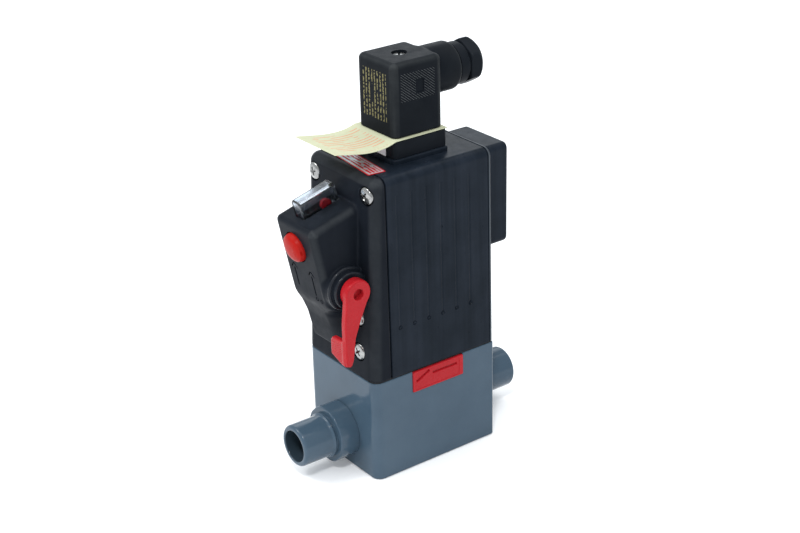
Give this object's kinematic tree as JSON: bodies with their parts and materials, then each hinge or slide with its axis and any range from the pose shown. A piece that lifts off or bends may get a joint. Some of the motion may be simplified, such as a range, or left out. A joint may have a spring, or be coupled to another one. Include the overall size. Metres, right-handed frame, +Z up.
{
  "type": "solenoid diaphragm valve",
  "caption": "Grey plastic diaphragm valve block with pipe spigots, black solenoid actuator, red hand lever and button, clear position window and square plug connector.",
  "frame": {"origin": "centre of the grey block's bottom face", "axes": "+Z up along the spindle, -Y towards the outlet spigot and the control hood, +X the side with the flow-arrow plate"},
  "size_m": [0.0537, 0.124, 0.1909],
  "materials": {
    "grey_pvc": "smooth grey PVC, satin with glossy front",
    "black_plastic": "fine-textured black moulded plastic",
    "black_gloss": "semi-gloss black connector plastic",
    "red_plastic": "semi-gloss red moulded plastic",
    "clear_plastic": "clear moulded window",
    "nickel": "nickel-plated screw steel",
    "steel": "turned steel",
    "brass": "brass",
    "copper": "enamelled copper winding",
    "rubber": "black rubber",
    "light_plastic": "natural bearing plastic",
    "grey_plastic": "grey terminal plastic",
    "board": "green circuit board",
    "paper_yellow": "pale yellow paper",
    "label_red": "red and silver sticker",
    "label_white": "blank white patch"
  },
  "bodies": {
    "root": {"valve_body": "grey_pvc", "valve_body_top": "grey_pvc", "seat_insert": "light_plastic", "outlet_spigot": "grey_pvc", "inlet_spigot": "grey_pvc", "port_o_rings": "rubber", "flow_arrow_plate": "red_plastic", "base_inserts": "brass", "diaphragm": "rubber", "bonnet_plate": "grey_plastic", "spindle_o_ring": "rubber", "return_spring": "steel", "core_tube": "brass", "fixed_core": "steel", "core_nut": "steel", "coil_bobbin": "black_plastic", "coil_winding": "copper", "yoke_frame": "steel", "body_screws": "steel", "housing_gasket": "rubber", "main_housing": "black_plastic", "front_cover": "black_plastic", "cover_gasket": "rubber", "cover_screws": "nickel", "lever_bush": "light_plastic", "indicator_window": "clear_plastic", "indicator_pin": "steel", "button_spring": "steel", "rear_cover": "black_plastic", "rear_cover_screws": "nickel", "circuit_board": "board", "connector_base": "black_gloss", "blank_marker": "label_white", "contact_pins": "brass", "instruction_tag": "paper_yellow", "plug_gasket": "grey_plastic", "plug_housing": "black_gloss", "terminal_block": "grey_plastic", "plug_screw": "steel", "gland_seal": "rubber", "gland_washer": "steel", "seal_label": "label_red"},
    "lever": {"override_lever": "red_plastic", "lever_shaft": "steel", "lift_cam": "light_plastic", "shaft_clip": "steel"},
    "spindle": {"spindle": "steel", "compressor": "steel", "lock_nut": "steel", "lift_bar": "steel", "armature": "steel"},
    "flag": {"indicator_flag": "red_plastic"},
    "button": {"push_button": "red_plastic"},
    "gland": {"gland_nut": "black_gloss"}
  },
  "joints": [
    {"name": "lever_swing", "type": "hinge", "parent": "root", "child": "lever", "pos_m": [0, -0.0398, 0.0963], "axis": [-1, 0, 0], "range_deg": [0, 90]},
    {"name": "spindle_stroke", "type": "slide", "parent": "root", "child": "spindle", "axis": [0, 0, 1], "range_m": [0, 0.004], "stiffness_N_per_m": 1500, "springref_m": -0.006, "deforming": ["return_spring", "diaphragm"]},
    {"name": "flag_swing", "type": "hinge", "parent": "root", "child": "flag", "pos_m": [-0.00055, -0.03777, 0.11312], "axis": [1, 0, 0], "range_deg": [0, 25]},
    {"name": "button_press", "type": "slide", "parent": "root", "child": "button", "axis": [0, 0.9787, 0.2055], "range_m": [0, 0.0018], "stiffness_N_per_m": 600, "springref_m": -0.0015, "deforming": ["button_spring"]},
    {"name": "gland_nut_turn", "type": "hinge", "parent": "root", "child": "gland", "pos_m": [0, 0.038, 0.1798], "axis": [0, 1, 0], "continuous": true}
  ],
  "couplings": [
    {"joint": "lever_swing", "follows": "spindle_stroke", "rad_per_m": 392.69},
    {"joint": "flag_swing", "follows": "spindle_stroke", "rad_per_m": 109.08}
  ]
}
